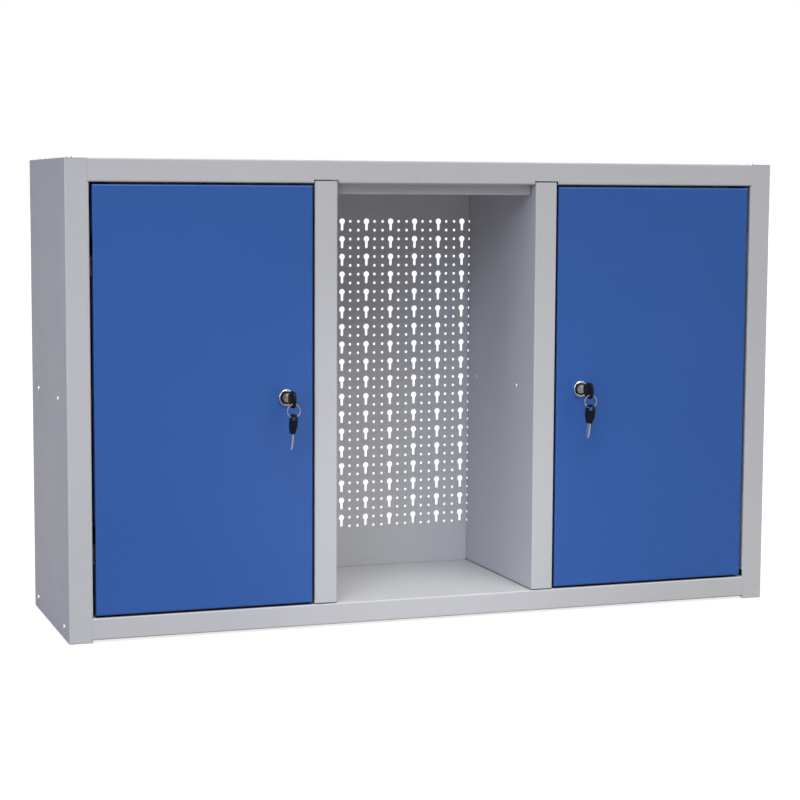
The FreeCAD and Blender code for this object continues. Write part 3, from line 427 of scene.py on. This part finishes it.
# Painted shade deep in gaps: a quarter share on most zinc parts, nearly full on the hinges
ZINC = zinc_plate("zinc_steel", gap_shade=0.25)
HINGE_ZINC = zinc_plate("hinge_zinc", gap_shade=0.95)
CHROME = chrome()
PLUG_METAL = nickel("plug_nickel", stretch=(1.0, 1.0, 1.0), colour=PLUG_NICKEL)
BLADE_METAL = nickel("blade_nickel", stretch=(6.0, 1.0, 0.5), colour=BLADE_NICKEL)
RING_METAL = nickel("ring_nickel", stretch=(1.0, 5.0, 1.0), colour=RING_NICKEL)
PLASTIC = black_plastic()

FINISHES = (
    ("door_panel", DOOR_PAINT),
    ("screws", ZINC),
    ("rivets", ZINC),
    ("hinge_pin", HINGE_ZINC),
    ("hinge_frame_leaf", HINGE_ZINC),
    ("hinge_door_leaf", HINGE_ZINC),
    ("lock_body", CHROME),
    ("lock_nut", ZINC),
    ("lock_plug", PLUG_METAL),
    ("lock_cam", ZINC),
    ("cam_screw", ZINC),
    ("key_ring", RING_METAL),
    ("key_bow", PLASTIC),
    ("key_blade", BLADE_METAL),
)


def finish_of(name):
    for ending, material in FINISHES:
        if name.endswith(ending):
            return material
    return FRAME_PAINT


for node_name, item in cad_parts.items():
    for slot in item.material_slots:
        slot.material = finish_of(node_name)


def loft(rings, closed=False):
    """Vertices and faces of a skin over rings of equal count; open ends get a cap."""
    count = len(rings[0])
    vertices = [point for ring in rings for point in ring]
    faces = []
    last = len(rings) if closed else len(rings) - 1
    for level in range(last):
        near = level * count
        far = (level + 1) % len(rings) * count
        for step in range(count):
            after = (step + 1) % count
            faces.append((near + step, near + after, far + after, far + step))
    if not closed:
        faces.append(tuple(range(count - 1, -1, -1)))
        faces.append(tuple(range((len(rings) - 1) * count, len(rings) * count)))
    return vertices, faces


def make_piece(name, parts, material, body, smooth_degrees=35.0):
    """One mesh object from several lists of vertices and faces."""
    vertices = []
    faces = []
    for part_vertices, part_faces in parts:
        first = len(vertices)
        vertices += [tuple(point) for point in part_vertices]
        faces += [tuple(first + index for index in face) for face in part_faces]
    mesh = bpy.data.meshes.new(name)
    mesh.from_pydata(vertices, [], faces)
    mesh.validate()
    mesh.shade_smooth()
    mesh.set_sharp_from_angle(angle=math.radians(smooth_degrees))
    mesh.materials.append(material)
    piece = bpy.data.objects.new(name, mesh)
    bpy.context.scene.collection.objects.link(piece)
    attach(piece, body)
    return piece


# Screws: a domed head with a hexagon socket, and a threaded shank
SCREW_RADIUS = 2.5 * MM
SCREW_HEAD_RADIUS = 4.2 * MM
SCREW_HEAD_HEIGHT = 2.2 * MM
SCREW_LENGTH = 8.0 * MM
SOCKET_RADIUS = 1.75 * MM
SOCKET_DEPTH = 1.3 * MM
THREAD_DEPTH = 0.35 * MM
THREAD_TURNS = 9
SCREW_STEPS = 36
DOME_RINGS = 6
SOCKET_LIP = 0.12 * MM
HEAD_RIM_HEIGHT = 0.5 * MM
HEAD_EDGE = 0.08 * MM
SOCKET_FLOOR_SHARE = 0.55
SOCKET_WALL_SHARE = 0.85
SOCKET_BRIM_SHARE = 1.18
DOME_START_SHARE = 1.45
TIP_SHARE = 1.6


def circle(radius, level):
    turn = 2 * math.pi / SCREW_STEPS
    return [
        Vector((radius * math.cos(turn * step), radius * math.sin(turn * step), level))
        for step in range(SCREW_STEPS)
    ]


def hexagon(radius, level):
    """Points along a hexagon at the same angles as the circle's."""
    sector = math.pi / 3
    points = []
    for step in range(SCREW_STEPS):
        angle = 2 * math.pi * step / SCREW_STEPS
        reach = radius * math.cos(sector / 2) / math.cos(angle % sector - sector / 2)
        points.append(Vector((reach * math.cos(angle), reach * math.sin(angle), level)))
    return points


def screw():
    """A screw with its seat at the origin, its head up and its shank down."""
    top = SCREW_HEAD_HEIGHT
    rings = [
        hexagon(SOCKET_RADIUS * SOCKET_FLOOR_SHARE, top - SOCKET_DEPTH),
        hexagon(SOCKET_RADIUS, top - SOCKET_DEPTH * SOCKET_WALL_SHARE),
        hexagon(SOCKET_RADIUS, top - SOCKET_LIP),
        circle(SOCKET_RADIUS * SOCKET_BRIM_SHARE, top),
    ]
    brow = SOCKET_RADIUS * DOME_START_SHARE
    for step in range(DOME_RINGS + 1):
        angle = math.pi / 2 * step / DOME_RINGS
        radius = brow + (SCREW_HEAD_RADIUS - brow) * math.sin(angle)
        level = HEAD_RIM_HEIGHT + (top - HEAD_RIM_HEIGHT) * math.cos(angle)
        rings.append(circle(radius, level))
    rings.append(circle(SCREW_HEAD_RADIUS, HEAD_EDGE))
    rings.append(circle(SCREW_HEAD_RADIUS - HEAD_EDGE, 0.0))
    rings.append(circle(SCREW_RADIUS, 0.0))
    pitch = SCREW_LENGTH / (THREAD_TURNS + 1)
    for turn in range(THREAD_TURNS):
        level = -pitch * (turn + 0.5)
        rings.append(circle(SCREW_RADIUS, level))
        rings.append(circle(SCREW_RADIUS - THREAD_DEPTH, level - pitch / 2))
    rings.append(circle(SCREW_RADIUS - THREAD_DEPTH * TIP_SHARE, -SCREW_LENGTH))
    return loft(rings)


# Where the screws sit on the sheets that they hold
SHEET_THICKNESS = 1.0 * MM
FLANGE_MIDDLE = 12.5 * MM
FRAME_SCREW_FRONT_INSET = 35.0 * MM
FRAME_SCREW_REAR_INSET = 33.0 * MM
SHELF_SCREW_FRONT_INSET = 63.0 * MM
SHELF_SCREW_REAR_INSET = 36.0 * MM
BOTTOM_SCREW_DROP = 16.0 * MM
SHELF_SCREW_DROP = 13.0 * MM
SCREW_TURN_DEGREES = 23.0
UP = Vector((0, 0, 1))
DOWN = Vector((0, 0, -1))


def both_sides(left):
    """A place on the left and its mirror image on the right."""
    return left, -left


def seats(columns, rows, level):
    return [(x, y, level) for x in columns for y in rows]


def outward_from_middle(seat):
    return Vector((seat[0], 0, 0))


def inward_to_middle(seat):
    return Vector((-seat[0], 0, 0))


def screw_groups():
    """The seats of each group, and which way the head of each screw points."""
    left_face, front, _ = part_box("left_side_panel")[0]
    _, rear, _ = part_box("left_side_panel")[1]
    bay_wall, bay_back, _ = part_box("left_divider")[1]
    _, _, top_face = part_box("top_panel")[1]
    _, _, floor_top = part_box("bottom_panel")[1]
    _, _, shelf_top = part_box("left_shelf")[1]
    frame_rows = (front + FRAME_SCREW_FRONT_INSET, rear - FRAME_SCREW_REAR_INSET)
    shelf_rows = (front + SHELF_SCREW_FRONT_INSET, bay_back - SHELF_SCREW_REAR_INSET)
    shelf_level = shelf_top - SHELF_SCREW_DROP
    top = seats(both_sides(left_face + FLANGE_MIDDLE), frame_rows, top_face)
    bottom = seats(both_sides(left_face), frame_rows, floor_top - BOTTOM_SCREW_DROP)
    dividers = seats(both_sides(bay_wall - FLANGE_MIDDLE), shelf_rows, floor_top - SHEET_THICKNESS)
    shelf_sides = seats(both_sides(left_face), shelf_rows, shelf_level)
    shelf_walls = seats(both_sides(bay_wall), shelf_rows, shelf_level)
    return {
        "top_screws": [(seat, UP) for seat in top],
        "bottom_screws": [(seat, outward_from_middle(seat)) for seat in bottom],
        "divider_screws": [(seat, DOWN) for seat in dividers],
        "shelf_screws": [(seat, outward_from_middle(seat)) for seat in shelf_sides]
        + [(seat, inward_to_middle(seat)) for seat in shelf_walls],
    }


SCREW = screw()

for group_name, places in screw_groups().items():
    screws = []
    for number, (seat, outward) in enumerate(places):
        lean = UP.rotation_difference(outward).to_matrix().to_4x4()
        spin = Matrix.Rotation(math.radians(SCREW_TURN_DEGREES * (number + 1)), 4, "Z")
        move = Matrix.Translation(seat) @ lean @ spin
        screws.append(([move @ point for point in SCREW[0]], SCREW[1]))
    heads = make_piece(f"{group_name}_detailed", screws, ZINC, "carcass")
    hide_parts(group_name)


# Locks: a black liner in the bezel's recess
LINER_INNER = 6.12 * MM
LINER_OUTER = 8.22 * MM
LINER_THICKNESS = 0.6 * MM
LINER_CHAMFER = 0.2 * MM
BEZEL_RECESS_DEPTH = 1.5 * MM


def liner(side):
    low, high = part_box(f"{side}_lock_body")
    middle = (Vector(low) + Vector(high)) / 2
    seat = low[1] + BEZEL_RECESS_DEPTH
    rings = []
    for radius, lift in (
        (LINER_INNER, 0.0),
        (LINER_OUTER, 0.0),
        (LINER_OUTER, LINER_THICKNESS - LINER_CHAMFER),
        (LINER_OUTER - LINER_CHAMFER, LINER_THICKNESS),
        (LINER_INNER + LINER_CHAMFER, LINER_THICKNESS),
        (LINER_INNER, LINER_THICKNESS - LINER_CHAMFER),
    ):
        rings.append([
            Vector((middle.x + point.x, seat - lift, middle.z + point.y))
            for point in circle(radius, 0.0)
        ])
    skin = loft(rings, closed=True)
    make_piece(f"{side}_lock_liner", [skin], PLASTIC, f"{side}_door")


# Key rings: a split ring of two flattened turns
RING_STEPS = 192
RING_WIRE_SIDES = 12
RING_TURNS = 1.93
RING_CROSSING = 0.16
RING_WIRE_HALF_HEIGHT = 0.60 * MM
RING_WIRE_HALF_WIDTH = 0.29 * MM
RING_STEP_ASIDE = 0.32 * MM
RING_START_DEGREES = 205.0
RING_SQUARENESS = 0.6


def split_ring(side):
    low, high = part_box(f"{side}_key_ring")
    middle = (Vector(low) + Vector(high)) / 2
    wire = (high[1] - low[1]) / 2
    radius = (high[0] - low[0]) / 2 - wire
    rings = []
    for step in range(RING_STEPS + 1):
        share = step / RING_STEPS
        angle = math.radians(RING_START_DEGREES) + 2 * math.pi * RING_TURNS * share
        crossing = min(1.0, max(0.0, (share - 0.5) / RING_CROSSING + 0.5))
        aside = RING_STEP_ASIDE * (2 * crossing * crossing * (3 - 2 * crossing) - 1)
        outward = Vector((math.cos(angle), 0, math.sin(angle)))
        centre = middle + outward * radius + Vector((0, aside, 0))
        section = []
        for side_step in range(RING_WIRE_SIDES):
            around = 2 * math.pi * side_step / RING_WIRE_SIDES
            flat = math.copysign(abs(math.cos(around)) ** RING_SQUARENESS, math.cos(around))
            wide = math.copysign(abs(math.sin(around)) ** RING_SQUARENESS, math.sin(around))
            rise = outward * (RING_WIRE_HALF_HEIGHT * flat)
            section.append(centre + rise + Vector((0, RING_WIRE_HALF_WIDTH * wide, 0)))
        rings.append(section)
    ring = make_piece(f"{side}_split_ring", [loft(rings)], RING_METAL, f"{side}_ring")
    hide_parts(f"{side}_key_ring")


for side_name in SIDES:
    liner(side_name)
    split_ring(side_name)


def make_floor():
    mesh = bpy.data.meshes.new("studio_floor")
    reach = FLOOR_HALF_SIZE
    corners = [(-reach, -reach, 0), (reach, -reach, 0), (reach, reach, 0), (-reach, reach, 0)]
    mesh.from_pydata(corners, [], [(0, 1, 2, 3)])
    mesh.materials.append(studio_floor())
    floor = bpy.data.objects.new("studio_floor", mesh)
    bpy.context.scene.collection.objects.link(floor)


def make_world():
    """Faint even light, a brighter room in shiny metal, and plain white behind the cabinet."""
    world = bpy.data.worlds.new("studio")
    bpy.context.scene.world = world
    world.use_nodes = True
    nodes = world.node_tree.nodes
    links = world.node_tree.links
    path = nodes.new("ShaderNodeLightPath")
    light = nodes["Background"]
    light.inputs["Color"].default_value = (*WORLD_TINT, 1.0)
    light.inputs["Strength"].default_value = WORLD_STRENGTH
    whole = light.outputs[0]
    for ray, strength in (("Is Glossy Ray", WORLD_SHINE), ("Is Camera Ray", WORLD_SEEN)):
        room = nodes.new("ShaderNodeBackground")
        room.inputs["Color"].default_value = (*WHITE, 1.0)
        room.inputs["Strength"].default_value = strength
        both = nodes.new("ShaderNodeMixShader")
        links.new(path.outputs[ray], both.inputs[0])
        links.new(whole, both.inputs[1])
        links.new(room.outputs[0], both.inputs[2])
        whole = both.outputs[0]
    links.new(whole, nodes["World Output"].inputs["Surface"])


def make_lights():
    """Broad far lights from above and all sides, and two softboxes close in front."""
    for name, (source, strength, softness, tint) in FAR_LIGHTS.items():
        lamp = bpy.data.lights.new(name, "SUN")
        lamp.energy = strength
        lamp.color = tint
        lamp.angle = math.radians(softness)
        light = bpy.data.objects.new(name, lamp)
        light.rotation_euler = Vector(source).to_track_quat("Z", "Y").to_euler()
        bpy.context.scene.collection.objects.link(light)
    facing_the_cabinet = Vector((0, -1, 0)).to_track_quat("Z", "Y").to_euler()
    for name, (place, power, tint) in SOFTBOXES.items():
        lamp = bpy.data.lights.new(name, "AREA")
        lamp.energy = power
        lamp.color = tint
        lamp.shape = "DISK"
        lamp.size = SOFTBOX_SIZE
        light = bpy.data.objects.new(name, lamp)
        light.location = place
        light.rotation_euler = facing_the_cabinet
        light.visible_camera = False
        light.visible_glossy = False
        bpy.context.scene.collection.objects.link(light)


def make_camera():
    lens = bpy.data.cameras.new("camera")
    lens.lens = CAMERA_LENS_MM
    lens.clip_end = CAMERA_REACH
    camera = bpy.data.objects.new("camera", lens)
    place = Vector(CAMERA_PLACE)
    facing = (Vector(CAMERA_TARGET) - place).to_track_quat("-Z", "Y").to_matrix().to_4x4()
    roll = Matrix.Rotation(math.radians(CAMERA_ROLL_DEGREES), 4, "Z")
    camera.matrix_world = Matrix.Translation(place) @ facing @ roll
    bpy.context.scene.collection.objects.link(camera)
    bpy.context.scene.camera = camera


make_floor()
make_world()
make_lights()
make_camera()
bpy.context.scene.view_settings.view_transform = "Standard"
